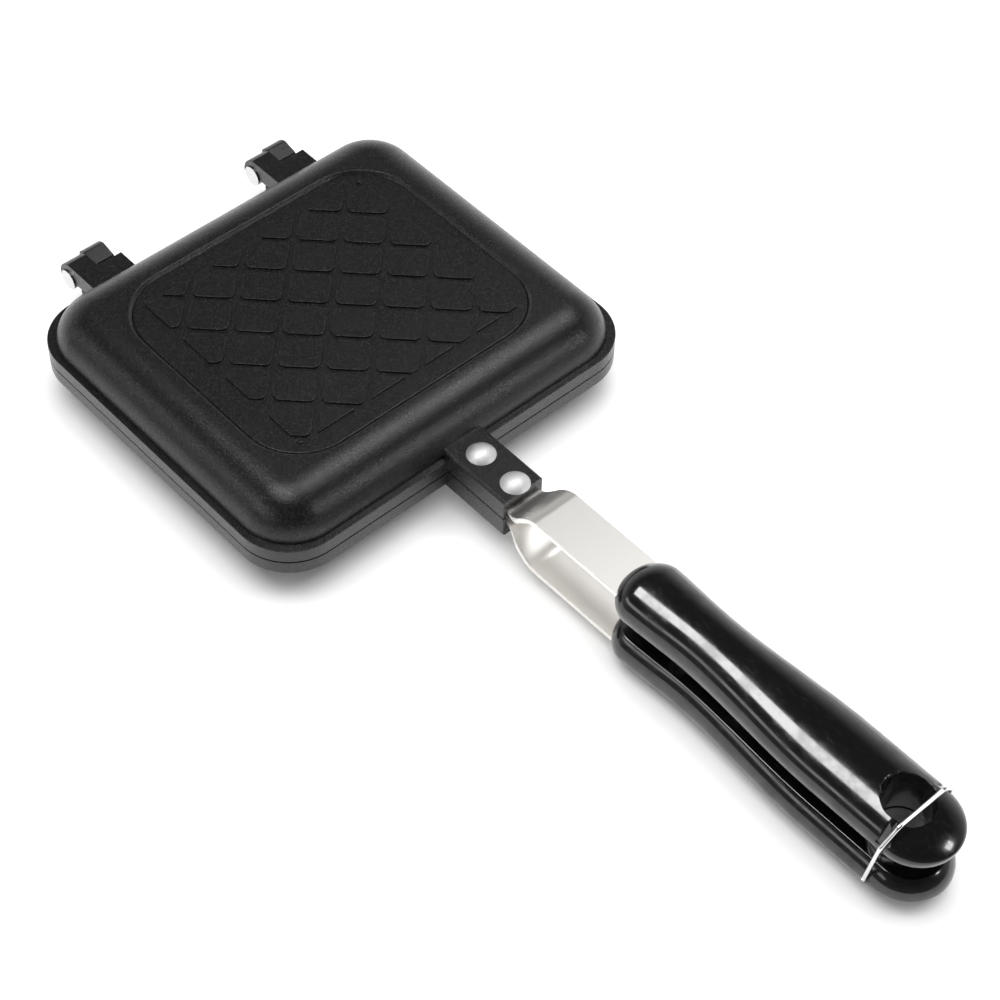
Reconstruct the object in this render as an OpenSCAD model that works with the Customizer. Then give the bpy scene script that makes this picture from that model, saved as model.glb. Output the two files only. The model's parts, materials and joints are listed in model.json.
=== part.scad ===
// Pie iron: a double-sided sandwich pan. Two matching cast plates hinge at the back, each
// carries a bent strap and a moulded half grip, and a wire bail holds the grips together.
// Frame: origin at the middle of the box, on the resting plane of the lower plate.
// +Z up, +X from the plates towards the grips. All sizes in mm.
// Each half is drawn once, measured upwards from the plane where the plates meet.

/* [Plates] */
// length of a plate along the handle
plate_len = 124; // [100:1:160]
// width of a plate across the handle
plate_wid = 140; // [110:1:180]
// plan radius of the rim's corners
corner_r = 17.5; // [12:0.5:26]
// height from the meeting plane to the resting plane
half_t = 17; // [14:0.5:24]
// height of the straight rim above the meeting plane
rim_h = 4.8; // [3.5:0.1:6]
// gap between the two rims when shut
seam = 0.3; // [0.1:0.05:0.6]
// flat ledge between the rim's edge and the foot of the dome
ledge_w = 2; // [1:0.1:4]
// plan radius of the dome's foot
foot_r = 17.2; // [16:0.1:30]
// plan width of the domed side
dome_w = 14.3; // [10:0.1:15]
// wall of the dome
wall = 3.2; // [2:0.1:5]

/* [Tile panel] */
// flat band between the dome and the recess
ring_w = 0.9; // [0.4:0.1:4]
// how far the recess is shorter across the handle than the dome's top
ring_side = 0.8; // [0:0.1:4]
// corner radius of the recess
recess_r = 20; // [8:1:26]
// depth of the recess
recess_d = 0.8; // [0.6:0.1:2]
// plan width of the recess's sloping edge
recess_slope = 0.8; // [0.5:0.1:3]
// width of the crease at the foot of that edge
crease_w = 0.6; // [0.4:0.1:1]
// depth of the crease
crease_d = 0.35; // [0.2:0.05:0.5]
// tile pitch along one diagonal
pitch_a = 14.4; // [10:0.1:20]
// tile pitch along the other diagonal
pitch_b = 13.4; // [10:0.1:20]
// channel between tiles
channel = 1.8; // [1:0.1:4]
// height of a tile
tile_h = 0.6; // [0.3:0.1:0.9]
// corner radius of a tile
tile_r = 2.3; // [0.5:0.1:3]
// bare border between the recess's floor edge and the tiles
tile_edge = 7.2; // [2:0.1:12]
// bare border across the handle
tile_side = 9.2; // [2:0.1:14]
// how far beyond that border the middle of a cut tile may lie
tile_cut = 6.2; // [4:0.1:8]

/* [Hinge] */
// middle of each hinge from the plate's middle
hinge_y = 36.4; // [26:0.1:46]
// width of a hinge tongue
hinge_w = 16; // [12:0.5:22]
// width of the hook
hook_w = 7.2; // [5:0.1:9]
// distance of the pin's axis from the rim
pin_out = 13.3; // [11:0.1:18]
// radius of the pin
pin_r = 3.4; // [2:0.1:3.6]
// running clearance of the hook on the pin
pin_fit = 0.07; // [0.03:0.01:0.1]
// wall of the hook's tip
hook_wall = 1.2; // [0.8:0.1:1.6]
// length of the tongue's full-width root
root_len = 7; // [5:0.5:8]
// height of the tongue above the meeting plane
tongue_h = 6.4; // [5.4:0.1:8]
// half size of the ear's flats
ear_flat = 5.3; // [4.8:0.1:5.6]
// outer radius of the ear's rounded corners
ear_r = 5.9; // [5.6:0.1:6.1]
// turn of the ear's flats
ear_turn = 15; // [5:1:22]
// width of the notch across the ear's top flat
ear_notch = 1; // [0.5:0.1:1.6]
// side clearance between hook, ear and shoulder
side_gap = 0.3; // [0.2:0.05:0.6]
// step from the ear to the tongue's outer side
ear_step = 1; // [0.5:0.1:1.5]
// how far the hook's tip reaches past the meeting plane
hook_drop = 0.9; // [0.5:0.1:1]
// lip inside the hook's tip
hook_lip = 0.35; // [0.2:0.05:0.5]
// overhang of the pin's outer end
pin_over = 0.5; // [0.3:0.1:1]

/* [Lug and rivets] */
// length of the lug beyond the rim
lug_len = 24; // [18:0.5:34]
// width of the lug
lug_w = 15; // [12:0.5:20]
// height of the lug above the meeting plane
lug_h = 7.5; // [6.5:0.1:10]
// bevel along the lug's top edges
lug_bevel = 0.7; // [0.3:0.1:1.5]
// rivet shank radius
rivet_r = 2.2; // [1.5:0.1:2.6]
// rivet head radius
head_r = 4.5; // [3:0.1:5.5]
// rivet head height
head_h = 2; // [1:0.1:2.5]
// first rivet from the rim
rivet_a = 5.8; // [5:0.1:8]
// distance between the rivets
rivet_pitch = 14.7; // [11:0.1:20]
// height of a rivet's closed tail
tail_h = 1.2; // [0.6:0.1:1.4]
// how far the tail is wider than the shank
tail_lip = 0.9; // [0.5:0.1:1.2]

/* [Strap] */
// thickness of the strap
strap_t = 1.6; // [1:0.1:2.5]
// width of the strap in the open
strap_w = 16.2; // [12:0.1:18]
// width of the strap inside the lug
root_w = 12.4; // [9:0.1:12.6]
// underside of the strap above the meeting plane, in the lug
strap_z = 1.6; // [1:0.1:2]
// rise of the strap from the lug to the grip
strap_rise = 7.9; // [5:0.1:10]
// plan length of the bend
bend_len = 13; // [9:0.5:18]
// width of the tang inside the grip
tang_w = 11; // [8:0.5:13]
// length of the tang inside the grip
tang_len = 56; // [30:1:70]
// clearance of the strap in its slots
slot_gap = 0.1; // [0.05:0.05:0.3]
// length over which the strap widens outside the lug
flare = 5.5; // [3:0.5:8]
// how far the full width of the strap goes into the grip
mouth_in = 5; // [3:0.5:6]

/* [Grip] */
// gap from the lug's end to the grip
grip_out = 43.5; // [34:0.5:60]
// length of a grip
grip_len = 119.5; // [100:0.5:150]
// greatest half width of a grip
grip_hw = 13; // [11:0.1:16]
// half width at the front swell
front_hw = 11.2; // [10.2:0.1:13]
// half width at the waist
waist_hw = 10.3; // [9.8:0.1:12]
// distance of the waist from the grip's front
waist_at = 31; // [24:1:45]
// height of the flat inner face above the meeting plane
flat_z = 3.5; // [2.5:0.1:5]
// height of the widest line above the meeting plane
belly_z = 8.9; // [8:0.1:10]
// height of the crown above the meeting plane
crown_z = 16.8; // [15:0.1:17]
// length of the rounded front end
nose_len = 9; // [6:0.5:14]
// radius of the hanging hole
hang_r = 7.5; // [4:0.1:8]
// distance of the hanging hole from the grip's end
hang_in = 16.8; // [14:0.1:24]
// width of the chamfer round the hanging hole
hang_rim = 0.6; // [0.3:0.1:1.5]
// screw shank radius
screw_r = 1.4; // [1:0.1:2]
// screw head radius
screw_head = 2.8; // [2:0.1:3.5]
// height of a screw's head
screw_h = 1.3; // [1:0.1:1.6]
// how far a screw's head lies below the flat face
screw_sink = 0.3; // [0.1:0.1:0.6]
// how far a screw goes past the tang's underside
screw_past = 3.6; // [3:0.1:4]
// first screw from the grip's front
screw_a = 22; // [14:0.5:30]
// distance between the screws
screw_pitch = 24; // [14:0.5:28]

/* [Wire bail] */
// radius of the wire
wire_r = 0.6; // [0.5:0.05:1]
// running clearance of the wire in its pivot holes
wire_fit = 0.06; // [0.03:0.01:0.1]
// clearance between the wire and the grips
wire_gap = 0.45; // [0.2:0.05:0.6]
// distance of the bail's pivot from the grip's end
bail_in = 15.8; // [14:0.1:22]
// depth of the pivot below the meeting plane
bail_z = 8; // [7:0.1:10]
// lean of the crossbar beyond the pivot
bail_lean = 3.3; // [2:0.1:5]
// height of the crossbar above the meeting plane
bar_z = 16.3; // [15:0.1:16.4]
// half length of the straight crossbar
bar_half = 8.8; // [6:0.1:11]
// height of the wire's bend above the meeting plane
bend_z = 10.3; // [8:0.1:12]
// depth of the wire's ends in the grip
pivot_in = 3.6; // [2:0.1:4]
// bend radius of the wire's shoulders
bail_bend = 2; // [1.2:0.1:3]
// how far the groove reaches behind the wire, towards the plates
groove_back = 2.3; // [0.3:0.1:3]
// how far it reaches past the wire, towards the tip
groove_front = 0.8; // [0.3:0.1:2]

/* [Hidden] */
$fn = 96;
eps = 0.01;

hx = plate_len / 2;
hy = plate_wid / 2;
dome_h = half_t - rim_h;
dome_r = (dome_w * dome_w + dome_h * dome_h) / (2 * dome_h);
arc_z = half_t - dome_r;
core_x = hx - ledge_w - dome_w;
core_y = hy - ledge_w - dome_w;
core_r = foot_r - dome_w;
rec_x = core_x - ring_w;
rec_y = core_y - ring_w - ring_side;
floor_z = half_t - recess_d;
pocket_h = floor_z - wall + 1;
tile_x = rec_x - recess_slope - tile_edge;
tile_y = rec_y - recess_slope - tile_side;
pin_x = -(hx + pin_out);
hook_x = pin_x - pin_r - pin_fit - hook_wall;
lug_x = hx + lug_len;
rivet_x = [hx + rivet_a, hx + rivet_a + rivet_pitch];
level_z = strap_z + strap_rise;
grip_x = lug_x + grip_out;
tip_x = grip_x + grip_len;
hang_x = tip_x - hang_in;
bail_x = tip_x - bail_in;
bar_x = bail_x + bail_lean;
tang_x = grip_x + tang_len;
root_in = 1.5;
flare_x = lug_x + 0.5;
mouth_x = grip_x + mouth_in;
screw_x = [grip_x + screw_a, grip_x + screw_a + screw_pitch];
leg_y = grip_hw + wire_gap + wire_r;
// The wire's feet bend just outside the lower grip. The bends swell by a hair and lap their runs.
foot_bend = wire_gap + wire_r;
bend_swell = 0.03;
bend_lap = 0.2;
// Radius from the pivot that the grips' tips stay within, to clear the swinging wire.
swing_r = norm([bail_lean, bar_z + bail_z]) - wire_r - wire_gap;
ear_x = pin_x - ear_r * cos(acos(ear_flat / ear_r) - ear_turn);
ear_y = hook_w + side_gap;
ear_w = hinge_w - ear_y - side_gap - ear_step;
shift_x = -(tip_x + min(hook_x, ear_x)) / 2;

// Places one half: the lower half is the upper one turned over.
module upper_half() {
  translate([shift_x, 0, half_t]) children();
}

module lower_half() {
  translate([shift_x, 0, half_t]) mirror([0, 0, 1]) children();
}

module round_rect(x, y, r) {
  square([2 * (x - r), 2 * y], center = true);
  square([2 * x, 2 * (y - r)], center = true);
  for (sx = [-1, 1], sy = [-1, 1]) translate([sx * (x - r), sy * (y - r)]) circle(r = r);
}

// Side profile of the dome beyond its flat top: s outwards, z upwards.
module dome_profile(r, z0, z1) {
  intersection() {
    union() {
      translate([0, arc_z]) circle(r = r);
      translate([0, z0]) square([r, max(arc_z - z0, eps)]);
    }
    translate([0, z0]) square([r + 1, z1 - z0]);
  }
}

// Rounded box with arched sides: used for the outside and, with a smaller radius, the pocket.
module dome_form(r, z0, z1) {
  x = core_x;
  y = core_y;
  translate([0, 0, z0]) linear_extrude(z1 - z0) round_rect(x, y, core_r);
  for (s = [0, 180]) rotate([0, 0, s]) {
    translate([x, y - core_r, 0]) rotate([90, 0, 0])
      linear_extrude(2 * (y - core_r)) dome_profile(r, z0, z1);
    translate([-(x - core_r), y, 0]) rotate([90, 0, 90])
      linear_extrude(2 * (x - core_r)) dome_profile(r, z0, z1);
  }
  for (c = [[1, 1, 0], [-1, 1, 90], [-1, -1, 180], [1, -1, 270]])
    translate([c[0] * (x - core_r), c[1] * (y - core_r), 0]) rotate([0, 0, c[2]])
      rotate_extrude(angle = 90) {
        translate([core_r, 0]) dome_profile(r, z0, z1);
        translate([0, z0]) square([core_r, z1 - z0]);
      }
}

// Sloping-edged recess for the tiles, with a crease all round its floor.
module recess() {
  x = rec_x - recess_r;
  y = rec_y - recess_r;
  low = recess_r - recess_slope;
  over = recess_slope / recess_d;
  profile = [[0, 0], [low - crease_w, 0], [low - crease_w / 2, -crease_d], [low, 0],
    [recess_r + over, recess_d + 1], [0, recess_d + 1]];
  translate([0, 0, floor_z]) {
    for (s = [0, 180]) rotate([0, 0, s]) {
      translate([x, y, 0]) rotate([90, 0, 0]) linear_extrude(2 * y) polygon(profile);
      translate([-x, y, 0]) rotate([90, 0, 90]) linear_extrude(2 * x) polygon(profile);
    }
    for (c = [[1, 1, 0], [-1, 1, 90], [-1, -1, 180], [1, -1, 270]])
      translate([c[0] * x, c[1] * y, 0]) rotate([0, 0, c[2]])
        rotate_extrude(angle = 90) polygon(profile);
    linear_extrude(recess_d + 1) square([2 * x, 2 * y], center = true);
  }
}

module tile() {
  round_rect((pitch_a - channel) / 2, (pitch_b - channel) / 2, tile_r);
}

// Tiles stand in rows along the plate's diagonals and stop at a border inside the recess.
module tiles() {
  reach = ceil((tile_x + tile_y) / pitch_b);
  translate([0, 0, floor_z - 0.2]) linear_extrude(tile_h + 0.2) intersection() {
    square([2 * tile_x, 2 * tile_y], center = true);
    rotate([0, 0, 45]) for (i = [-reach : reach], j = [-reach : reach]) {
      a = (i + 0.5) * pitch_a;
      b = (j + 0.5) * pitch_b;
      if (abs(a - b) / sqrt(2) < tile_x + tile_cut && abs(a + b) / sqrt(2) < tile_y + tile_cut)
        translate([a, b]) tile();
    }
  }
}

// One plate without its hinge parts: rim, dome, pocket, tiles and the lug for the strap.
module plate_form() {
  difference() {
    union() {
      translate([0, 0, seam / 2]) linear_extrude(rim_h - seam / 2) round_rect(hx, hy, corner_r);
      dome_form(dome_r, rim_h - 1, half_t);
      lug();
    }
    dome_form(dome_r - wall, seam / 2 - 1, pocket_h);
    recess();
  }
  tiles();
}

module lug() {
  w = lug_w / 2;
  b = lug_bevel;
  difference() {
    translate([hx - ledge_w - 1, 0, 0]) rotate([90, 0, 90]) linear_extrude(lug_len + ledge_w + 1)
      polygon([[-w, seam / 2], [w, seam / 2], [w, lug_h - b], [w - b, lug_h], [-(w - b), lug_h], [-w, lug_h - b]]);
    translate([hx + root_in - 0.5, -(root_w / 2 + slot_gap), -1])
      cube([lug_len, root_w + 2 * slot_gap, strap_z + strap_t + 1]);
    for (x = rivet_x) translate([x, 0, 0]) cylinder(r = rivet_r, h = lug_h + 1);
  }
}

// Hook half of a hinge, its -Y edge at y = 0.
module hook() {
  r = pin_r + pin_fit;
  difference() {
    union() {
      translate([-(hx + root_len), 0, seam / 2])
        cube([root_len + ledge_w + 1, hinge_w, tongue_h - seam / 2]);
      translate([pin_x, 0, seam / 2]) cube([pin_out - root_len + 1, hook_w, tongue_h - seam / 2]);
      intersection() {
        translate([hook_x + tongue_h, hook_w, 0]) rotate([90, 0, 0]) cylinder(r = tongue_h, h = hook_w);
        translate([hook_x - 1, 0, 0]) cube([tongue_h + 1, hook_w, tongue_h + 1]);
      }
      translate([hook_x, 0, -hook_drop]) cube([r + hook_wall, hook_w, hook_drop + eps]);
    }
    translate([pin_x, hook_w + eps, 0]) rotate([90, 0, 0]) cylinder(r = r, h = hook_w + 2 * eps);
    translate([pin_x - r + hook_lip, -eps, -hook_drop - 1])
      cube([2 * r - hook_lip, hook_w + 2 * eps, hook_drop + 1]);
  }
}

// Ear half of a hinge, carrying the pin, its hinge's -Y edge at y = 0.
module ear() {
  difference() {
    union() {
      translate([-(hx + root_len), 0, seam / 2])
        cube([root_len + ledge_w + 1, hinge_w, tongue_h - seam / 2]);
      translate([pin_x, ear_y, seam / 2]) cube([pin_out - root_len + 1, ear_w, ear_flat - seam / 2]);
      translate([pin_x, ear_y + ear_w, 0]) rotate([90, 0, 0]) linear_extrude(ear_w) difference() {
        intersection() {
          circle(r = ear_r);
          rotate([0, 0, ear_turn]) square(2 * ear_flat, center = true);
        }
        rotate([0, 0, 100 + ear_turn]) translate([ear_flat, 0]) rotate([0, 0, 45])
          square(ear_notch, center = true);
      }
    }
    translate([pin_x, ear_y + ear_w + eps, 0]) rotate([90, 0, 0]) cylinder(r = pin_r, h = ear_w + 2 * eps);
  }
}

module upper_plate() {
  color([0.09, 0.09, 0.095]) upper_half() {
    plate_form();
    for (s = [-1, 1]) translate([0, s * hinge_y - hinge_w / 2, 0]) hook();
  }
}

module lower_plate() {
  color([0.09, 0.09, 0.095]) lower_half() {
    plate_form();
    for (s = [-1, 1]) translate([0, s * hinge_y - hinge_w / 2, 0]) ear();
  }
}

module hinge_pin(s) {
  far = ear_y + ear_w;
  color([0.75, 0.75, 0.76]) translate([shift_x + pin_x, s * hinge_y - hinge_w / 2 + far, half_t])
    rotate([90, 0, 0]) cylinder(r = pin_r, h = far + pin_over);
}

module left_hinge_pin() {
  hinge_pin(-1);
}

module right_hinge_pin() {
  hinge_pin(1);
}

// Height of the strap's underside along its bend, t from 0 at the lug to 1 at the level part.
function strap_at(t) = strap_z + strap_rise * (1 - cos(180 * t)) / 2;

module strap() {
  n = 14;
  x0 = hx + root_in;
  bend_x = lug_x + 1;
  // The upper side of the bend runs ahead of the lower one and swells, to keep the thickness.
  under = [for (i = [0 : n]) [bend_x + bend_len * i / n, strap_at(i / n)]];
  over = [for (i = [n : -1 : 0]) let (k = sin(180 * i / n))
    [bend_x + bend_len * i / n - 0.5 * strap_t * k, strap_at(i / n) + strap_t * (1 + 0.12 * k)]];
  side = concat([[x0, strap_z]], under, [[tang_x, level_z], [tang_x, level_z + strap_t]], over,
    [[x0, strap_z + strap_t]]);
  a = root_w / 2;
  b = strap_w / 2;
  c = tang_w / 2;
  difference() {
    intersection() {
      translate([0, strap_w, 0]) rotate([90, 0, 0]) linear_extrude(2 * strap_w) polygon(side);
      translate([0, 0, -1]) linear_extrude(half_t + 2) polygon([
        [x0, -a], [flare_x, -a], [flare_x + flare, -b], [mouth_x, -b], [mouth_x + 2, -c], [tang_x, -c],
        [tang_x, c], [mouth_x + 2, c], [mouth_x, b], [flare_x + flare, b], [flare_x, a], [x0, a]
      ]);
    }
    for (x = rivet_x) translate([x, 0, -1]) cylinder(r = rivet_r, h = 8);
    for (x = screw_x) translate([x, 0, 0]) cylinder(r = screw_r, h = half_t);
  }
}

module upper_strap() {
  color([0.78, 0.78, 0.79]) upper_half() strap();
}

module lower_strap() {
  color([0.78, 0.78, 0.79]) lower_half() strap();
}

module rivet(i) {
  cap_r = (head_r * head_r + head_h * head_h) / (2 * head_h);
  color([0.82, 0.82, 0.83]) translate([rivet_x[i], 0, 0]) {
    translate([0, 0, strap_z - tail_h]) cylinder(r = rivet_r + tail_lip, h = tail_h);
    translate([0, 0, strap_z - eps]) cylinder(r = rivet_r, h = lug_h - strap_z + 2 * eps);
    intersection() {
      translate([0, 0, lug_h + head_h - cap_r]) sphere(r = cap_r);
      translate([0, 0, lug_h]) cylinder(r = head_r, h = head_h + 1);
    }
  }
}

module upper_rivet_rear() {
  upper_half() rivet(0);
}

module upper_rivet_front() {
  upper_half() rivet(1);
}

module lower_rivet_rear() {
  lower_half() rivet(0);
}

module lower_rivet_front() {
  lower_half() rivet(1);
}

// Smooth step from 0 to 1 between a and b.
function ease(x, a, b) = let (t = min(max((x - a) / (b - a), 0), 1)) t * t * (3 - 2 * t);
// Half width of the grip without its rounded ends, x from the grip's front.
function grip_w(x) = front_hw + (waist_hw - front_hw) * ease(x, 9, waist_at)
  + (grip_hw - waist_hw) * ease(x, waist_at, waist_at + 48);
function end_f(x) = x < nose_len ? sqrt(max(1 - pow((nose_len - x) / nose_len, 2), 0))
  : x > grip_len - grip_hw ? sqrt(max(1 - pow((x - grip_len + grip_hw) / grip_hw, 2), 0)) : 1;
// Height of the crown above the widest line. Beyond the groove the wire has to swing over it.
function swing_h(x) = sqrt(max(pow(swing_r, 2) - pow(x - grip_len + bail_in, 2), 1)) - bail_z - belly_z;
function tip_h(x) = pow(pow(max(swing_h(x), 0.1), -3) + pow((crown_z - belly_z) * max(end_f(x), 0.01), -3), -1 / 3);
function crown_h(x) = let (a = (crown_z - belly_z) * end_f(x), g = grip_len - bail_in + bail_lean)
  a + (tip_h(x) - a) * ease(x, g - wire_r - groove_back, g + wire_r + groove_front);
function grip_ring(x, n) = let (f = end_f(x), w = grip_w(x) * f, a = crown_h(x),
  b = 1.5 * (belly_z - flat_z) * f)
  [for (k = [0 : n - 1]) let (t = 360 * k / n)
    [grip_x + x, w * cos(t), max(flat_z, belly_z + (sin(t) > 0 ? a : b) * sin(t))]];

// Grip body: a waisted half round with a flat inner face, lofted through rings.
module grip_body() {
  n = 48;
  front = [for (i = [0 : 6]) nose_len * (1 - cos(90 * (0.4 + i) / 6.4))];
  mid = [for (i = [1 : 20]) nose_len + (grip_len - grip_hw - nose_len - 4) * i / 20];
  back = [for (i = [0 : 9]) grip_len - grip_hw + grip_hw * sin(90 * i / 9.25)];
  xs = concat(front, mid, back);
  m = len(xs);
  rings = [for (x = xs) each grip_ring(x, n)];
  tips = [[grip_x, 0, belly_z], [tip_x, 0, belly_z]];
  sides = [for (i = [0 : m - 2], k = [0 : n - 1]) let (p = i * n, q = (k + 1) % n)
    each [[p + k, p + q, p + n + q], [p + k, p + n + q, p + n + k]]];
  caps = [for (k = [0 : n - 1]) let (q = (k + 1) % n, e = (m - 1) * n)
    each [[q, k, m * n], [e + k, e + q, m * n + 1]]];
  polyhedron(points = concat(rings, tips), faces = concat(sides, caps));
}

// Wire's centre line across the top of the grips, as seen along the handle.
module groove() {
  d = wire_r + wire_gap;
  run = [leg_y - bar_half, bar_z - bend_z];
  len_ = norm(run);
  in_y = leg_y - d * run[1] / len_;
  in_z = bend_z - d * run[0] / len_;
  floor_ = bar_z - d;
  at = in_y - run[0] * (floor_ - in_z) / run[1];
  translate([bar_x - wire_r - groove_back, 0, 0]) rotate([90, 0, 90])
    linear_extrude(groove_back + 2 * wire_r + groove_front)
    polygon([[-leg_y - 9, in_z], [-in_y, in_z], [-at, floor_], [at, floor_], [in_y, in_z],
      [leg_y + 9, in_z], [leg_y + 9, crown_z + 9], [-leg_y - 9, crown_z + 9]]);
}

module grip() {
  g = slot_gap;
  difference() {
    grip_body();
    translate([hang_x, 0, 0]) cylinder(r = hang_r, h = half_t + 2);
    translate([hang_x, 0, crown_z - hang_rim])
      cylinder(r1 = hang_r, r2 = hang_r + 2 * hang_rim, h = 2 * hang_rim);
    groove();
    translate([grip_x - 1, -(strap_w / 2 + g), level_z - g])
      cube([mouth_in + 3 + g, strap_w + 2 * g, strap_t + 2 * g]);
    translate([grip_x - 1, -(tang_w / 2 + g), level_z - g])
      cube([tang_len + 1 + g, tang_w + 2 * g, strap_t + 2 * g]);
    for (x = screw_x) translate([x, 0, flat_z - 1]) {
      cylinder(r = screw_r, h = level_z + screw_past + 0.4 - flat_z + 1);
      cylinder(r = screw_head, h = screw_sink + screw_h + 1);
    }
  }
}

module upper_grip() {
  color([0.03, 0.03, 0.032]) upper_half() grip();
}

module lower_grip() {
  color([0.03, 0.03, 0.032]) difference() {
    lower_half() grip();
    for (s = [-1, 1]) translate([shift_x + bail_x, s * (grip_hw - pivot_in - 0.3), half_t - bail_z])
      rotate([-s * 90, 0, 0]) cylinder(r = wire_r + wire_fit, h = pivot_in + 3);
  }
}

module screw(i) {
  z = flat_z + screw_sink;
  color([0.7, 0.7, 0.71]) translate([screw_x[i], 0, z]) difference() {
    union() {
      cylinder(r = screw_head - slot_gap, h = screw_h);
      cylinder(r = screw_r, h = level_z + screw_past - z);
    }
    for (a = [0, 90]) rotate([0, 0, a]) cube([screw_head, screw_head / 3, screw_h], center = true);
  }
}

module upper_screw_front() {
  upper_half() screw(0);
}

module upper_screw_rear() {
  upper_half() screw(1);
}

module lower_screw_front() {
  lower_half() screw(0);
}

module lower_screw_rear() {
  lower_half() screw(1);
}

// A bent wire drawn in one plane: straight runs joined by arcs of a bend radius, which are a
// hair thicker and take the ends of the runs in.
function unit(v) = v / norm(v);
function turn(p, i) = i < 1 || i > len(p) - 2 ? 0
  : acos(unit(p[i] - p[i - 1]) * unit(p[i + 1] - p[i]));
function trim(p, i, r) = r * tan(turn(p, i) / 2);

module bent_wire(p, bends) {
  for (i = [0 : len(p) - 2]) {
    u = unit(p[i + 1] - p[i]);
    a = p[i] + u * (i > 0 ? trim(p, i, bends[i]) - bend_lap : 0);
    b = p[i + 1] - u * (i < len(p) - 2 ? trim(p, i + 1, bends[i + 1]) - bend_lap : 0);
    translate([a[0], a[1], 0]) rotate([0, 90, atan2(u[1], u[0])]) cylinder(r = wire_r, h = norm(b - a));
  }
  for (i = [1 : len(p) - 2]) {
    u = unit(p[i] - p[i - 1]);
    c = p[i] - u * trim(p, i, bends[i]) + bends[i] * [u[1], -u[0]];
    translate([c[0], c[1], 0]) rotate([0, 0, atan2(u[0], -u[1]) - turn(p, i)])
      rotate_extrude(angle = turn(p, i)) translate([bends[i], 0]) circle(r = wire_r + bend_swell);
  }
}

module wire_bail() {
  tilt = atan(bail_lean / (bar_z + bail_z));
  top = (bar_z + bail_z) / cos(tilt);
  knee = (bend_z + bail_z) / cos(tilt);
  end = grip_hw - pivot_in;
  b = bail_bend;
  f = foot_bend;
  color([0.8, 0.8, 0.81]) translate([shift_x + bail_x, 0, half_t - bail_z])
    rotate([0, tilt, 0]) rotate([90, 0, 90])
      bent_wire([[-end, 0], [-leg_y, 0], [-leg_y, knee], [-bar_half, top],
        [bar_half, top], [leg_y, knee], [leg_y, 0], [end, 0]], [0, f, b, b, b, b, f, 0]);
}

upper_plate();
lower_plate();
upper_strap();
lower_strap();
upper_grip();
lower_grip();
upper_rivet_rear();
upper_rivet_front();
lower_rivet_rear();
lower_rivet_front();
left_hinge_pin();
right_hinge_pin();
wire_bail();
upper_screw_front();
upper_screw_rear();
lower_screw_front();
lower_screw_rear();
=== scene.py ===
# %% [markdown]
# # A hinged sandwich pan, dressed for its picture
# The pan is two coated castings hinged at the back, with a steel strap and half a phenolic grip
# on each, and a wire bail that holds the grips shut. The CAD frame gives every piece its place.
# This lesson sets the camera, gives each piece its finish, rounds the edges that catch the light,
# draws the glossy grips again, and lights a plain white set.

import json
import math

import bmesh
import bpy
import numpy as np
from mathutils import Matrix, Vector

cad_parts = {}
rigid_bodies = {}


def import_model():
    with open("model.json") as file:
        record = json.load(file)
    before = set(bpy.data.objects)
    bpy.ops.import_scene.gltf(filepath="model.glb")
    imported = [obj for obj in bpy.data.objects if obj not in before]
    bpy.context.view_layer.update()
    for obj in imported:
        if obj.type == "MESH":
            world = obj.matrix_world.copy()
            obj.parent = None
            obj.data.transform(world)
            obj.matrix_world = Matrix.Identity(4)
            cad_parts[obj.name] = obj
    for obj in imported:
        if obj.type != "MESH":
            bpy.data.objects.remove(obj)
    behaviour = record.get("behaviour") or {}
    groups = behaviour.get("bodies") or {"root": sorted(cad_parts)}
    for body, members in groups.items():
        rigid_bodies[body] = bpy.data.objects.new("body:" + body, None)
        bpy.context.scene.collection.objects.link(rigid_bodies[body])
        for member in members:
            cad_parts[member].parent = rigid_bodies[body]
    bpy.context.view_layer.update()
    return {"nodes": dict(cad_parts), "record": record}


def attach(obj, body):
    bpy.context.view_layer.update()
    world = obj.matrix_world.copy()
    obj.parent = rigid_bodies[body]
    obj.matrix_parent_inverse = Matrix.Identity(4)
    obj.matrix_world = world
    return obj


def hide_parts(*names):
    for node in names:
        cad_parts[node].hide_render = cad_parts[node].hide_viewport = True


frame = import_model()
NODES = frame["nodes"]
MM = 0.001
print("pieces in the frame:", len(NODES))

# %% [markdown]
# ## Camera
# A product picture is taken with a long lens, so that the near end of the handle doesn't swell.
# A camera object could be turned with three angles. Here its three axes are worked out from the
# direction in which it stands, which keeps the aim exact, and a small roll turns the picture.

# %% Camera
CAM_AZIMUTH = 46.48
CAM_ELEVATION = 50.007
CAM_ROLL = 1.89
CAM_DISTANCE = 0.695
CAM_TARGET = Vector((-1.171, -6.109, 21.9)) * MM
FOCAL_WIDTHS = 2.4204
SENSOR = 36.0


def make_camera():
    """The camera stands back from the target along the direction of its two angles."""
    azimuth = math.radians(CAM_AZIMUTH)
    elevation = math.radians(CAM_ELEVATION)
    right = Vector((math.cos(azimuth), math.sin(azimuth), 0))
    level, height = math.cos(elevation), math.sin(elevation)
    back = Vector((math.sin(azimuth) * level, -math.cos(azimuth) * level, height))
    up = back.cross(right)
    roll = math.radians(CAM_ROLL)
    right_rolled = right * math.cos(roll) + up * math.sin(roll)
    up_rolled = back.cross(right_rolled)
    data = bpy.data.cameras.new("camera")
    data.sensor_width = SENSOR
    data.lens = FOCAL_WIDTHS * SENSOR
    data.clip_start = 0.01
    camera = bpy.data.objects.new("camera", data)
    axes = Matrix((right_rolled, up_rolled, back)).transposed()
    camera.matrix_world = Matrix.Translation(CAM_TARGET + back * CAM_DISTANCE) @ axes.to_4x4()
    bpy.context.scene.collection.objects.link(camera)
    bpy.context.scene.camera = camera
    print("camera at", [round(v, 3) for v in camera.matrix_world.translation])


make_camera()

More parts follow.
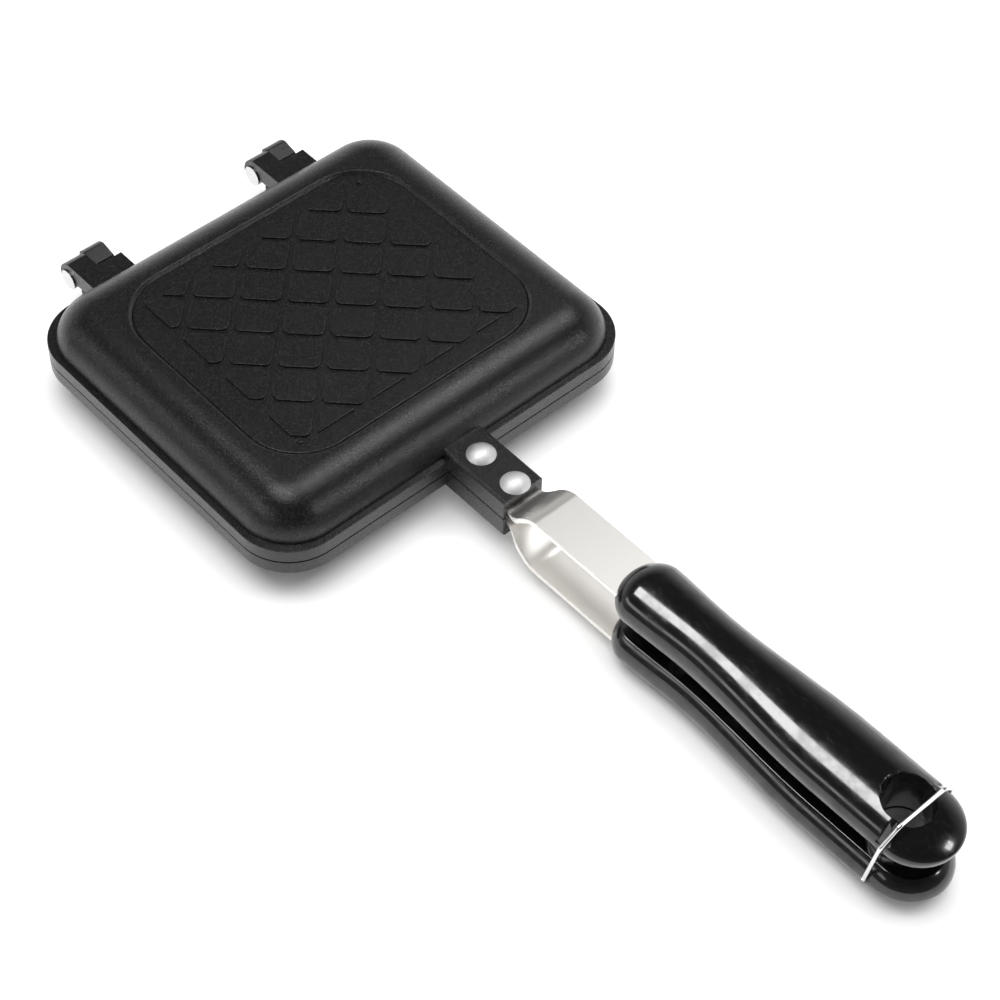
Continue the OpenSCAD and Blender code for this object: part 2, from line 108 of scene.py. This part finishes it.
# %% [markdown]
# ## Shader maths
# A finish is a sum of masks and noises. Placing and linking each Math node by hand hides that
# sum, so a small class wraps a socket and adds the nodes for plus, minus and times, and masks
# read as plain expressions. One method makes any other node from its settings and its values.


# %% Shader maths
class Value:
    """One output socket. Plus, minus and times add a Math node and give its output."""

    def __init__(self, tree, socket):
        self.tree = tree
        self.socket = socket

    def node(self, kind, settings=None, values=None, out=0):
        """Adds a node, sets or links its inputs by name or number, and gives one output."""
        made = self.tree.nodes.new(kind)
        for name, setting in (settings or {}).items():
            setattr(made, name, setting)
        for name, value in (values or {}).items():
            if isinstance(value, Value):
                self.tree.links.new(value.socket, made.inputs[name])
            else:
                made.inputs[name].default_value = value
        return Value(self.tree, made.outputs[out])

    def math(self, operation, other=0.0, swap=False):
        pair = (other, self) if swap else (self, other)
        return self.node("ShaderNodeMath", {"operation": operation}, {0: pair[0], 1: pair[1]})

    def __add__(self, other):
        return self.math("ADD", other)

    def __mul__(self, other):
        return self.math("MULTIPLY", other)

    def __sub__(self, other):
        return self.math("SUBTRACT", other)

    def __rsub__(self, other):
        return self.math("SUBTRACT", other, True)

    __radd__ = __add__
    __rmul__ = __mul__

    def ramp(self, low, high, start=0.0, end=1.0):
        """From start to end while this value goes from low to high, level outside."""
        values = {"Value": self, "From Min": low, "From Max": high, "To Min": start, "To Max": end}
        return self.node("ShaderNodeMapRange", {"clamp": True}, values)

    def tint(self, first, second):
        """A colour: the first where this value is 0, the second where it is 1."""
        colours = {0: self, 6: (*first, 1), 7: (*second, 1)}
        return self.node("ShaderNodeMix", {"data_type": "RGBA"}, colours, 2)


def material(name, **sockets):
    """A new material with some sockets set, its shader, and the piece's own coordinates."""
    made = bpy.data.materials.new(name)
    made.use_nodes = True
    shader = made.node_tree.nodes["Principled BSDF"]
    for socket, value in sockets.items():
        shader.inputs[socket.replace("_", " ")].default_value = value
    where = made.node_tree.nodes.new("ShaderNodeTexCoord")
    print("finish", name)
    return made, shader, Value(made.node_tree, where.outputs["Object"])


def feed(made, shader, socket, value):
    made.node_tree.links.new(value.socket, shader.inputs[socket])


def bumped(made, shader, place, height, strength, distance):
    """Tilts the shading as a relief of this height would; the distance is in metres."""
    values = {"Height": height, "Strength": strength, "Distance": distance}
    feed(made, shader, "Normal", place.node("ShaderNodeBump", {}, values))


def noise(place, scale, detail=2.0, roughness=0.5):
    values = {"Vector": place, "Scale": scale, "Detail": detail, "Roughness": roughness}
    return place.node("ShaderNodeTexNoise", {}, values)


def stretched(place, scale):
    """Coordinates scaled by a different number along each axis."""
    return place.node("ShaderNodeMapping", {}, {"Vector": place, "Scale": scale})


# %% [markdown]
# ## Finishes
# The castings carry a sprayed non-stick coating: near black, with a fine orange-peel grain and
# tiny pale flakes. A picture of the grain would smear when the pan is seen close. Noise and
# cells in the piece's own coordinates stay sharp and stay put when the lid turns. Names that end
# in PER_M count features in a metre, and those that end in DEEP are heights in metres.


# %% Coating
GRAINS_PER_M = 2600.0
FLAKES_PER_M = 3300.0
PATCHES_PER_M = 70.0
COAT_DARK = (0.002, 0.002, 0.0024)
COAT_PALE = (0.042, 0.042, 0.046)
COAT_ROUGH = 0.28
GRAIN_DEEP = 0.00012


def coating():
    """Each cell draws a lot, and only the highest lots give a pale flake."""
    made, shader, place = material("coating")
    grain = noise(place, GRAINS_PER_M, 3.0, 0.65)
    patches = noise(place, PATCHES_PER_M, 2.0)
    values = {"Vector": place, "Scale": FLAKES_PER_M}
    cells = place.node("ShaderNodeTexVoronoi", {}, values, "Color")
    lot = cells.node("ShaderNodeSeparateColor", {}, {"Color": cells})
    flake = lot.ramp(0.3, 1.0)
    feed(made, shader, "Base Color", (flake * flake * flake).tint(COAT_DARK, COAT_PALE))
    feed(made, shader, "Roughness", COAT_ROUGH + patches * 0.06 - flake * 0.06)
    bumped(made, shader, place, grain + patches * 0.2, 0.6, GRAIN_DEEP)
    return made


# %% [markdown]
# The straps are rolled stainless strip, polished along their length, so their roughness comes
# from noise that is drawn out that way. Rivets, pins, wire and screws are small bare metal
# parts: one function gives each its own colour and range of roughness.


# %% Metals
STEEL = (0.84, 0.82, 0.79, 1)
LINES_PER_M = (60.0, 3500.0, 3500.0)
SMUDGES_PER_M = 120.0
STEEL_ROUGH = 0.34
LINE_DEEP = 0.00005
CLOUD_DEEP = 0.00008


def strap_steel():
    """Lines drawn out along the strap, and smudges where it has been handled."""
    made, shader, place = material("strap_steel", Base_Color=STEEL, Metallic=1.0)
    lines = noise(stretched(place, LINES_PER_M), 1.0, 2.0)
    smudge = noise(place, SMUDGES_PER_M, 3.0)
    feed(made, shader, "Roughness", STEEL_ROUGH + lines * 0.10 + smudge * 0.08)
    bumped(made, shader, place, lines, 0.12, LINE_DEEP)
    return made


def bare_metal(name, colour, low, high, scale):
    """A metal of one colour with a roughness that drifts between low and high."""
    made, shader, place = material(name, Base_Color=(*colour, 1), Metallic=1.0)
    cloud = noise(place, scale, 3.0)
    feed(made, shader, "Roughness", cloud.ramp(0.3, 0.7, low, high))
    bumped(made, shader, place, cloud, 0.15, CLOUD_DEEP)
    return made


# %% [markdown]
# The grips are moulded phenolic, near black and glossy, with faint ripples and rubbed spots. A
# thin clear coat over a duller base gives both a sharp streak of light and a soft edge round it,
# and where hands have rubbed the grip the coat is weaker.


# %% Grip plastic
WAVES_PER_M = 55.0
SCUFFS_PER_M = (300.0, 900.0, 900.0)
RUBS_PER_M = 170.0
GRIP_BLACK = (0.0045, 0.0045, 0.005)
GRIP_WORN = (0.012, 0.012, 0.013)
GRIP_ROUGH = 0.14
WAVE_DEEP = 0.0006


def grip_plastic():
    """Scuffs dull and pale the plastic, and rubbed spots thin its clear coat."""
    made, shader, place = material("grip_plastic", Coat_Roughness=0.06)
    wave = noise(place, WAVES_PER_M, 1.0)
    scuff = noise(stretched(place, SCUFFS_PER_M), 1.0, 4.0)
    worn = scuff.ramp(0.55, 0.8)
    rubbed = noise(place, RUBS_PER_M, 4.0, 0.6).ramp(0.42, 0.66)
    feed(made, shader, "Base Color", worn.tint(GRIP_BLACK, GRIP_WORN))
    feed(made, shader, "Coat Weight", 0.5 - rubbed * 0.3)
    feed(made, shader, "Roughness", GRIP_ROUGH + worn * 0.12 + rubbed * 0.08)
    bumped(made, shader, place, wave + scuff * 0.03, 0.2, WAVE_DEEP)
    return made


# %% [markdown]
# One table holds the finishes under the names that the frame's pieces ask for.

# %% Table of finishes
FINISHES = {
    "coating": coating(),
    "strap_steel": strap_steel(),
    "grip_plastic": grip_plastic(),
    "rivet_aluminium": bare_metal("rivet_aluminium", (0.92, 0.92, 0.92), 0.5, 0.62, 900.0),
    "pin_steel": bare_metal("pin_steel", (0.62, 0.62, 0.63), 0.2, 0.35, 700.0),
    "bail_wire": bare_metal("bail_wire", (0.74, 0.74, 0.75), 0.14, 0.26, 600.0),
    "screw_steel": bare_metal("screw_steel", (0.6, 0.6, 0.61), 0.25, 0.4, 600.0),
}
SLOT_OF = {part["node"]: part["material_slot"] for part in frame["record"]["subparts"]}

# %% [markdown]
# ## Softened pieces
# A cast or stamped piece has no knife edges: each outward edge is a little round and shows as a
# thin line of light, while the foot of each tile stays crisp and dark. The CAD mesh is loose
# triangles, so a copy is merged first. Its outward edges then get a weight, and the Bevel
# modifier rounds only those. The result is kept as a mesh, so that its inward edges can be marked
# crisp once more, and it takes the CAD piece's place.

# %% Softened pieces
WEIGHT = "bevel_weight_edge"
EDGE_STEPS = 3
PLATE_EDGE = 0.22
PLATE_TURN = 28
MERGE = 2e-6
FLAT_TURN = math.radians(0.5)
BODIES = frame["record"]["behaviour"]["bodies"]
BODY_OF = {node: body for body, nodes in BODIES.items() for node in nodes}


def merged_copy(node):
    """The CAD mesh with shared corners, and with flat areas joined into single faces."""
    mesh = NODES[node].data.copy()
    data = bmesh.new()
    data.from_mesh(mesh)
    bmesh.ops.remove_doubles(data, verts=data.verts, dist=MERGE)
    bmesh.ops.dissolve_limit(data, angle_limit=FLAT_TURN, verts=data.verts, edges=data.edges)
    data.to_mesh(mesh)
    data.free()
    return mesh


def marked(mesh, limit):
    """Outward edges that turn more than the limit are to be rounded; inward ones stay crisp."""
    data = bmesh.new()
    data.from_mesh(mesh)
    data.normal_update()
    rounded = data.edges.layers.float.get(WEIGHT) or data.edges.layers.float.new(WEIGHT)
    for edge in data.edges:
        turn = edge.calc_face_angle_signed(0)
        edge[rounded] = float(turn > limit)
        edge.smooth = turn > -limit
    data.to_mesh(mesh)
    data.free()
    return mesh


def softened(node, mesh, width, turn):
    """Rounds the mesh's outward edges and lets it ride in the place of the CAD piece."""
    limit = math.radians(turn)
    mesh.shade_smooth()
    piece = bpy.data.objects.new("soft_" + node, marked(mesh, limit))
    bpy.context.scene.collection.objects.link(piece)
    piece.data.materials.clear()
    piece.data.materials.append(FINISHES[SLOT_OF[node]])
    bevel = piece.modifiers.new("edges", "BEVEL")
    bevel.width = width * MM
    bevel.segments = EDGE_STEPS
    bevel.limit_method = "WEIGHT"
    bevel.use_clamp_overlap = False
    graph = bpy.context.evaluated_depsgraph_get()
    rounded = bpy.data.meshes.new_from_object(piece.evaluated_get(graph))
    piece.modifiers.remove(bevel)
    piece.data = marked(rounded, limit)
    normals = piece.modifiers.new("normals", "WEIGHTED_NORMAL")
    normals.keep_sharp = True
    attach(piece, BODY_OF[node])
    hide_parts(node)
    print(node, "faces after rounding:", len(rounded.polygons))


def dress(node):
    """A small piece keeps its CAD mesh and only gets its finish."""
    for slot in NODES[node].material_slots:
        slot.material = FINISHES[SLOT_OF[node]]


for name in ("upper_plate", "lower_plate", "upper_strap", "lower_strap"):
    softened(name, merged_copy(name), PLATE_EDGE, PLATE_TURN)

# %% [markdown]
# ## Sizes of the grips
# The same named sizes as the CAD source, in millimetres. They are measured along the handle from
# the middle of the plates, and upwards from the plane where the two halves meet. The frame has
# its origin on the table under the middle of the whole pan, so SHIFT_X and HALF_T lead there.
# A grip could be measured off its CAD mesh instead, but named sizes say what each number is.

# %% Sizes of the grips
SHIFT_X = -83.955
HALF_T = 17.0
GRIP_X = 129.5
GRIP_LEN = 119.5
GRIP_HALF = 13.0
FRONT_HALF = 11.2
WAIST_HALF = 10.3
WAIST_FROM = 9.0
WAIST_AT = 31.0
PALM_AT = 79.0
NOSE_LEN = 9.0
FLAT_Z = 3.5
BELLY_Z = 8.9
BELLY_ROUND = 1.5
CROWN_Z = 16.8
STRAP_Z = 9.5
STRAP_T = 1.6
STRAP_HALF = 8.1
MOUTH_IN = 5.0
SLOT_GAP = 0.1
SCREWS_AT = (22.0, 46.0)
SCREW_HEAD = 2.8
SCREW_DEEP = 5.1
HOLE_IN = 16.8
HOLE_R = 7.5
HOLE_RIM = 0.6
HOLE_WALL = 1.8
SLEEVE_GAP = 0.2
PIVOT_IN = 15.8
PIVOT_Z = 8.0
PIVOT_DEEP = 3.9
WIRE_R = 0.6
WIRE_GAP = 0.45
WIRE_FIT = 0.06
BAR_LEAN = 3.3
BAR_Z = 16.3
BAR_HALF = 8.8
KNEE_Z = 10.3
GROOVE_BACK = 2.3
GROOVE_FRONT = 0.8
print("grip, mm:", GRIP_LEN, "long,", 2 * GRIP_HALF, "wide")

# %% [markdown]
# ## Grips
# Each half grip is a moulding with a flat inner face, a waist for the fingers, a rounded nose
# where the strap goes in, and a domed tip. Coarse facets would break up the long streak of light
# on it, so its loft is drawn again with the CAD source's formulas and finer rings. It could be a
# subdivided box, but then the outline would only come near the real one.


# %% Grip loft
NOSE_RINGS = 22
BODY_RINGS = 90
TIP_RINGS = 44
OVER_POINTS = 65
UNDER_POINTS = 13
NOSE_START = 0.04
TIP_STOP = 0.03
RING_MERGE = 0.004
LEAST_RISE = 0.1
LEAST_SHARE = 0.01
BLEND = 3


def ease(x, start, end):
    """A step from 0 to 1 between start and end, with a level start and end: 3 t^2 - 2 t^3."""
    t = np.clip((x - start) / (end - start), 0, 1)
    return t * t * (3 - 2 * t)


def end_scale(x):
    """How far each end has closed: sqrt(1 - t^2), a quarter circle, where t runs from 0 at the
    body to 1 at the very end of the nose or of the tip."""
    nose = np.clip((NOSE_LEN - x) / NOSE_LEN, 0, 1)
    tip = np.clip((x - GRIP_LEN + GRIP_HALF) / GRIP_HALF, 0, 1)
    return np.sqrt(np.maximum(1 - np.maximum(nose, tip) ** 2, 0))


def half_width(x):
    """Half the grip's width: eased from the front's to the waist's, and then to the palm's."""
    swell = (WAIST_HALF - FRONT_HALF) * ease(x, WAIST_FROM, WAIST_AT)
    return FRONT_HALF + swell + (GRIP_HALF - WAIST_HALF) * ease(x, WAIST_AT, PALM_AT)


def crown(x):
    """The back's height over the belly line. Beyond the groove it also stays under the circle
    that the swinging wire draws, through a smooth minimum: (a^-3 + b^-3)^(-1/3)."""
    swing = math.hypot(BAR_LEAN, BAR_Z + PIVOT_Z) - WIRE_R - WIRE_GAP
    reach = np.sqrt(np.maximum(swing**2 - (x - GRIP_LEN + PIVOT_IN) ** 2, 1)) - PIVOT_Z - BELLY_Z
    full = (CROWN_Z - BELLY_Z) * end_scale(x)
    circle = np.maximum(reach, LEAST_RISE)
    arch = np.maximum(full, (CROWN_Z - BELLY_Z) * LEAST_SHARE)
    tip = (circle**-BLEND + arch**-BLEND) ** (-1 / BLEND)
    bar = GRIP_LEN - PIVOT_IN + BAR_LEAN
    return full + (tip - full) * ease(x, bar - WIRE_R - GROOVE_BACK, bar + WIRE_R + GROOVE_FRONT)


def grip_stations():
    """Places of the rings along the grip, close together where the nose and the tip turn in."""
    quarter = math.pi / 2
    nose = NOSE_LEN * (1 - np.cos(np.linspace(NOSE_START, quarter, NOSE_RINGS)))
    body = np.linspace(NOSE_LEN, GRIP_LEN - GRIP_HALF, BODY_RINGS)[1:-1]
    tip = GRIP_LEN - GRIP_HALF * (1 - np.sin(np.linspace(0, quarter - TIP_STOP, TIP_RINGS)))
    return np.concatenate([nose, body, tip])[:, None]


def grip_points():
    """Ring by ring: half a turn of the ellipse half_width by crown over the belly line, then a
    flatter ellipse under it as far as the flat inner face cuts it."""
    x = grip_stations()
    low = BELLY_ROUND * (BELLY_Z - FLAT_Z) * end_scale(x)
    drop = np.arcsin(np.minimum((BELLY_Z - FLAT_Z) / low, 1))
    over = np.tile(np.linspace(0, math.pi, OVER_POINTS), (len(x), 1))
    under = drop * np.linspace(0, 1, UNDER_POINTS)[1:]
    turn = np.concatenate([over, math.pi + under, -under[:, ::-1]], axis=1)
    lift = np.where(np.sin(turn) > 0, crown(x), low) * np.sin(turn)
    across = half_width(x) * end_scale(x) * np.cos(turn)
    return np.stack([GRIP_X + x + 0 * turn, across, BELLY_Z + lift], axis=-1)


def ring_faces(rows, count):
    """A four-sided face between each pair of neighbours on two rings, and a cap on each end."""
    first = np.arange((rows - 1) * count).reshape(-1, count)
    second = np.roll(first, -1, axis=1)
    sides = np.stack([first, second, second + count, first + count], axis=-1).reshape(-1, 4)
    cap = np.arange(count)
    return sides.tolist() + [cap[::-1].tolist(), (cap + (rows - 1) * count).tolist()]


def grip_mesh():
    """One closed half grip, before anything is cut from it."""
    points = grip_points()
    print("grip rings:", len(points), "points in each:", points.shape[1])
    mesh = bpy.data.meshes.new("grip")
    mesh.from_pydata(points.reshape(-1, 3).tolist(), [], ring_faces(*points.shape[:2]))
    data = bmesh.new()
    data.from_mesh(mesh)
    bmesh.ops.remove_doubles(data, verts=data.verts, dist=RING_MERGE)
    bmesh.ops.recalc_face_normals(data, faces=data.faces)
    data.to_mesh(mesh)
    data.free()
    return mesh


# %% [markdown]
# The grip is cut as it is on the bench: the hanging hole with its eased rim, the groove in which
# the latched wire lies, the mouth for the strap, the screw holes in the flat face and, in the
# lower grip, the two bores in which the wire's ends turn. A tube lines the hanging hole inside
# the grip. Modelling each cut into the loft by hand would tie it to the rings, so blocks and
# posts are drawn with the same named sizes and combined by exact Booleans. Each cutter reaches
# past the face that it cuts, by PAST, CLEAR or the like, so that no two faces share a plane.

# %% Grip cutters
POST_SIDES = 128
PAST = 9
PIVOT_PAST = 3
MOUTH_PAST = 2
CLEAR = 1


def block(data, low, high):
    """A box between two corners."""
    size = [b - a for a, b in zip(low, high)]
    middle = [(a + b) / 2 for a, b in zip(low, high)]
    place = Matrix.Translation(middle) @ Matrix.Diagonal((*size, 1))
    bmesh.ops.create_cube(data, size=1, matrix=place)


def post(data, at, low, high, radius, top_radius=None, across=False):
    """A round post, upright or lying across the grip, that may widen to its top."""
    turn = Matrix.Rotation(math.pi / 2, 4, "X") if across else Matrix.Identity(4)
    middle = (at[0], (low + high) / 2, at[1]) if across else (at[0], at[1], (low + high) / 2)
    bmesh.ops.create_cone(
        data, cap_ends=True, segments=POST_SIDES, radius1=radius, radius2=top_radius or radius,
        depth=high - low, matrix=Matrix.Translation(middle) @ turn
    )


def groove(data):
    """The bent wire's outline from the side, one gap larger all round, carried along the grip."""
    start = GRIP_X + GRIP_LEN - PIVOT_IN + BAR_LEAN - WIRE_R - GROOVE_BACK
    end = start + GROOVE_BACK + 2 * WIRE_R + GROOVE_FRONT
    leg = GRIP_HALF + WIRE_GAP + WIRE_R
    away = WIRE_R + WIRE_GAP
    run = (leg - BAR_HALF, BAR_Z - KNEE_Z)
    length = math.hypot(*run)
    side, knee = leg - away * run[1] / length, KNEE_Z - away * run[0] / length
    floor = BAR_Z - away
    edge = side - run[0] * (floor - knee) / run[1]
    outer, above = leg + PAST, CROWN_Z + PAST
    outline = [(-outer, knee), (-side, knee), (-edge, floor), (edge, floor), (side, knee),
               (outer, knee), (outer, above), (-outer, above)]
    near = [data.verts.new((start, y, z)) for y, z in outline]
    far = [data.verts.new((end, y, z)) for y, z in outline]
    data.faces.new(near[::-1])
    data.faces.new(far)
    for k in range(len(near)):
        q = (k + 1) % len(near)
        data.faces.new((near[k], near[q], far[q], far[k]))


def combined(mesh, draw, operation="DIFFERENCE"):
    """The mesh after an exact Boolean with the tool that draw makes."""
    data = bmesh.new()
    draw(data)
    bmesh.ops.recalc_face_normals(data, faces=data.faces)
    tool_mesh = bpy.data.meshes.new("cutter")
    data.to_mesh(tool_mesh)
    data.free()
    tool = bpy.data.objects.new("cutter", tool_mesh)
    work = bpy.data.objects.new("blank", mesh)
    for thing in (tool, work):
        bpy.context.scene.collection.objects.link(thing)
    cut = work.modifiers.new("cut", "BOOLEAN")
    cut.operation = operation
    cut.solver = "EXACT"
    cut.object = tool
    graph = bpy.context.evaluated_depsgraph_get()
    made = bpy.data.meshes.new_from_object(work.evaluated_get(graph))
    for thing in (tool, work):
        bpy.data.objects.remove(thing)
    print("after", draw.__name__, "faces:", len(made.polygons))
    return made


HOLE_AT = (GRIP_X + GRIP_LEN - HOLE_IN, 0)


def hole_sleeve(data):
    """The tube round the hanging hole, from just short of the other grip into the flat face."""
    post(data, HOLE_AT, SLEEVE_GAP, FLAT_Z + CLEAR, HOLE_R + HOLE_WALL)


def hole(data):
    post(data, HOLE_AT, 0, HALF_T + 2 * CLEAR, HOLE_R)


def hole_rim(data):
    """A cone that eases the hole's upper rim."""
    low = CROWN_Z - HOLE_RIM
    post(data, HOLE_AT, low, low + 2 * HOLE_RIM, HOLE_R, HOLE_R + 2 * HOLE_RIM)


def mouth(data):
    low, high = STRAP_Z - SLOT_GAP, STRAP_Z + STRAP_T + SLOT_GAP
    half = STRAP_HALF + SLOT_GAP
    end = GRIP_X + MOUTH_IN + MOUTH_PAST + SLOT_GAP
    block(data, (GRIP_X - CLEAR, -half, low), (end, half, high))


def screw_holes(data):
    for at in SCREWS_AT:
        post(data, (GRIP_X + at, 0), FLAT_Z - CLEAR, SCREW_DEEP, SCREW_HEAD)


def pivots(data):
    at = (GRIP_X + GRIP_LEN - PIVOT_IN, PIVOT_Z)
    for low in (GRIP_HALF - PIVOT_DEEP, -GRIP_HALF - PIVOT_PAST):
        post(data, at, low, low + PIVOT_DEEP + PIVOT_PAST, WIRE_R + WIRE_FIT, across=True)


# %% [markdown]
# Both grips come from the one loft. The lower one is its mirror image, so its faces are flipped
# to point outwards again, and it alone gets the bores for the wire.


# %% Grips
GRIP_EDGE = 0.3
GRIP_TURN = 25


def placed(mesh, sign):
    """Moves the mesh from the grip's own millimetres to the frame, upright or mirrored."""
    count = len(mesh.vertices)
    points = np.empty(count * 3)
    mesh.vertices.foreach_get("co", points)
    points = points.reshape(-1, 3) * (1, 1, sign) + (SHIFT_X, 0, HALF_T)
    mesh.vertices.foreach_set("co", (points * MM).ravel())
    if sign < 0:
        mesh.flip_normals()
    mesh.update()


for name, sign in (("upper_grip", 1), ("lower_grip", -1)):
    mesh = combined(grip_mesh(), hole_sleeve, "UNION")
    for draw in (hole, hole_rim, groove, mouth, screw_holes):
        mesh = combined(mesh, draw)
    if sign < 0:
        mesh = combined(mesh, pivots)
    placed(mesh, sign)
    softened(name, mesh, GRIP_EDGE, GRIP_TURN)

for name in NODES:
    if not any(word in name for word in ("plate", "strap", "grip")):
        dress(name)

# %% [markdown]
# ## Set
# The picture is a cut-out look: a white table under a white background. A curved backdrop would
# do the same, but a wide plain floor is enough here, because the world behind it is white to the
# camera. The floor glows a little near the pan, and fades to plain white farther off, where the
# lamp no longer reaches, but only for the camera.

# %% Floor
FLOOR_HALF = 3.0
FLOOR_GLOW = 0.12
FADE_FROM = 0.45
FADE_TO = 1.1


def make_floor():
    mesh = bpy.data.meshes.new("floor")
    corners = [(x * FLOOR_HALF, y * FLOOR_HALF, 0) for x, y in ((-1, -1), (1, -1), (1, 1), (-1, 1))]
    mesh.from_pydata(corners, [], [(0, 1, 2, 3)])
    floor = bpy.data.objects.new("floor", mesh)
    made, shader, place = material(
        "floor", Base_Color=(0.9, 0.9, 0.9, 1), Roughness=0.95, Emission_Strength=1.0
    )
    rays = made.node_tree.nodes.new("ShaderNodeLightPath")
    seen = Value(made.node_tree, rays.outputs["Is Camera Ray"])
    away = place.node("ShaderNodeVectorMath", {"operation": "LENGTH"}, {0: place}, "Value")
    glow = (away.ramp(FADE_FROM, FADE_TO) * seen).tint((FLOOR_GLOW,) * 3, (1, 1, 1))
    feed(made, shader, "Emission Color", glow)
    mesh.materials.append(made)
    bpy.context.scene.collection.objects.link(floor)
    print("floor, m:", 2 * FLOOR_HALF)


make_floor()

# %% [markdown]
# ## Light
# Black gloss and grey gloss are lit by what they mirror. One wide box overhead whitens the floor
# and leaves a soft shadow under the pan. The others are reflectors that only the pan receives:
# one overhead draws the streak along the grips, a long one low on the near side draws the thin
# line along the lower grip and the edges of the tiles, one over the near corner of the dome and
# one behind give the coating and the straps their sheen, and a small one at the side makes the
# points of light on the tips. Light linking keeps each from washing out what it isn't for.


# %% Lights
def softbox(name, place, aim, size, power, only):
    """A rectangle of light in metres and watts that only one collection receives."""
    data = bpy.data.lights.new(name, "AREA")
    data.shape = "RECTANGLE"
    data.size, data.size_y = size
    data.energy = power
    light = bpy.data.objects.new(name, data)
    direction = Vector(aim) - Vector(place)
    light.rotation_euler = direction.to_track_quat("-Z", "Y").to_euler()
    light.location = place
    bpy.context.scene.collection.objects.link(light)
    light.light_linking.receiver_collection = only


def group(name, keep):
    """A collection of the pieces that a light may reach."""
    made = bpy.data.collections.new(name)
    for thing in bpy.context.scene.objects:
        if thing.type == "MESH" and keep(thing.name):
            made.objects.link(thing)
    return made


FLOOR_ONLY = group("floor only", lambda name: name == "floor")
PAN_ONLY = group("pan only", lambda name: name != "floor")
GRIPS_ONLY = group("grips only", lambda name: "grip" in name or name == "wire_bail")
METAL_ONLY = group("metal only", lambda name: name != "floor" and "grip" not in name)

# Each line: name, place, aim, size in metres, power in watts, who receives it.
softbox("overhead", (0, 0, 1.2), (0, 0, 0), (1.4, 1.4), 27, FLOOR_ONLY)
softbox("streak", (-0.14, -0.15, 0.56), (-0.14, -0.149, 0), (0.34, 0.24), 3.6, GRIPS_ONLY)
softbox("fill", (-0.19, -0.61, 0.35), (0.1, 0, 0), (0.7, 0.12), 0.7, PAN_ONLY)
softbox("strip", (-0.14, -0.10, 0.56), (-0.14, -0.099, 0), (0.34, 0.15), 1.1, METAL_ONLY)
softbox("sheen", (-0.10, 0.56, 1.12), (0.05, 0, 0), (0.5, 0.34), 3.7, METAL_ONLY)
softbox("side", (0.80, 0.45, 0.55), (0.12, 0, 0), (0.16, 0.16), 1.4, PAN_ONLY)

# %% [markdown]
# ## World
# The dome's far slopes mirror a bright horizon, while the panel and the near sides stay dark. So
# the world is bright low down behind the pan and dark overhead and towards the camera. Camera
# rays see plain white instead, which is the background.

# %% World
LOW_LIGHT = 1.0
HIGH_LIGHT = 0.08
LOW_EDGE = 0.10
HIGH_EDGE = 0.62
BEHIND = (-0.725, 0.688, 0.0)
FRONT_LEVEL = 0.12
FRONT_EDGE = -0.3
BACK_EDGE = 0.6


def make_world():
    """Strength = a fall with height, times a rise towards the back, plus a little everywhere."""
    world = bpy.data.worlds.new("studio")
    world.use_nodes = True
    bpy.context.scene.world = world
    tree = world.node_tree
    tree.nodes.clear()
    out = tree.nodes.new("ShaderNodeOutputWorld")
    rays = tree.nodes.new("ShaderNodeLightPath")
    seen = Value(tree, rays.outputs["Is Camera Ray"])
    place = Value(tree, tree.nodes.new("ShaderNodeTexCoord").outputs["Generated"])
    height = place.node("ShaderNodeSeparateXYZ", {}, {"Vector": place}, "Z")
    settings, pair = {"operation": "DOT_PRODUCT"}, {0: place, 1: BEHIND}
    behind = place.node("ShaderNodeVectorMath", settings, pair, "Value")
    low = height.ramp(LOW_EDGE, HIGH_EDGE, LOW_LIGHT, 0.0)
    level = low * behind.ramp(FRONT_EDGE, BACK_EDGE, FRONT_LEVEL, 1.0) + HIGH_LIGHT
    dim = seen.node("ShaderNodeBackground", {}, {"Color": (1, 1, 1, 1), "Strength": level})
    white = seen.node("ShaderNodeBackground", {}, {"Color": (1, 1, 1, 1), "Strength": 1.0})
    both = seen.node("ShaderNodeMixShader", {}, {0: seen, 1: dim, 2: white})
    tree.links.new(both.socket, out.inputs["Surface"])
    print("world nodes:", len(tree.nodes))


make_world()

# %% [markdown]
# ## Colour and finish
# Plain Standard colour, so a colour renders as it is written. A filmic transform would grey the
# white set.

# %% Colour and finish
bpy.context.scene.view_settings.view_transform = "Standard"
print("colour:", bpy.context.scene.view_settings.view_transform)
